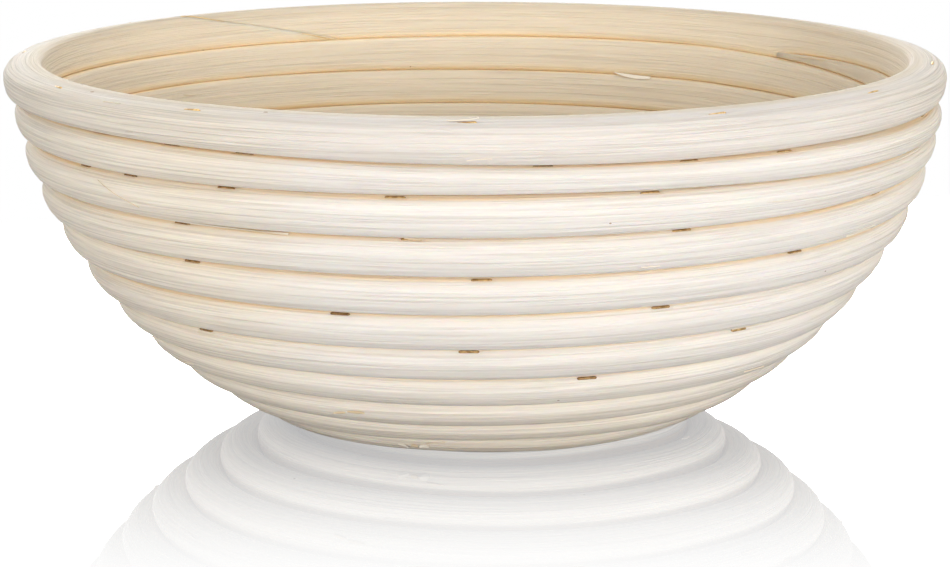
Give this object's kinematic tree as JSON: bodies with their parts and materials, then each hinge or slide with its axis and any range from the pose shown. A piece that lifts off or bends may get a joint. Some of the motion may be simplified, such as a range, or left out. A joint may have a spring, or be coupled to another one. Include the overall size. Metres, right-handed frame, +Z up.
{
  "type": "proofing basket",
  "caption": "Round bowl-shaped proofing basket wound from a spiral of cane, with a level rim ring and wire staples joining each turn to the next, for holding bread dough while it rises.",
  "frame": {"origin": "under the middle of the rim, on the surface that the basket stands on", "axes": "+Z up through the mouth, -Y towards the side that the picture shows, +X to its right"},
  "size_m": [0.2494, 0.2493, 0.0973],
  "materials": {
    "cane": "bare peeled cane, matt",
    "rim_cane": "bare peeled cane, matt",
    "staple_wire": "dull coated wire"
  },
  "bodies": {
    "root": {"base_coil": "cane", "lower_wall_coil": "cane", "middle_wall_coil": "cane", "rim_ring": "rim_cane", "rim_staple_01": "staple_wire", "rim_staple_02": "staple_wire", "rim_staple_03": "staple_wire", "rim_staple_04": "staple_wire", "rim_staple_05": "staple_wire", "rim_staple_06": "staple_wire", "rim_staple_07": "staple_wire", "rim_staple_08": "staple_wire", "rim_staple_09": "staple_wire", "rim_staple_10": "staple_wire", "rim_staple_11": "staple_wire", "turn_10_staple_01": "staple_wire", "turn_1_staple_01": "staple_wire", "turn_1_staple_02": "staple_wire", "turn_1_staple_03": "staple_wire", "turn_1_staple_04": "staple_wire", "turn_1_staple_05": "staple_wire", "turn_1_staple_06": "staple_wire", "turn_1_staple_07": "staple_wire", "turn_1_staple_08": "staple_wire", "turn_1_staple_09": "staple_wire", "turn_1_staple_10": "staple_wire", "turn_2_staple_01": "staple_wire", "turn_2_staple_02": "staple_wire", "turn_2_staple_03": "staple_wire", "turn_2_staple_04": "staple_wire", "turn_2_staple_05": "staple_wire", "turn_2_staple_06": "staple_wire", "turn_2_staple_07": "staple_wire", "turn_2_staple_08": "staple_wire", "turn_3_staple_01": "staple_wire", "turn_3_staple_02": "staple_wire", "turn_3_staple_03": "staple_wire", "turn_3_staple_04": "staple_wire", "turn_3_staple_05": "staple_wire", "turn_3_staple_06": "staple_wire", "turn_4_staple_01": "staple_wire", "turn_4_staple_02": "staple_wire", "turn_4_staple_03": "staple_wire", "turn_4_staple_04": "staple_wire", "turn_5_staple_01": "staple_wire", "turn_5_staple_02": "staple_wire", "turn_5_staple_03": "staple_wire", "turn_5_staple_04": "staple_wire", "turn_6_staple_01": "staple_wire", "turn_6_staple_02": "staple_wire", "turn_6_staple_03": "staple_wire", "turn_6_staple_04": "staple_wire", "turn_7_staple_01": "staple_wire", "turn_7_staple_02": "staple_wire", "turn_7_staple_03": "staple_wire", "turn_7_staple_04": "staple_wire", "turn_8_staple_01": "staple_wire", "turn_8_staple_02": "staple_wire", "turn_9_staple_01": "staple_wire", "upper_wall_coil": "cane"}
  },
  "joints": []
}
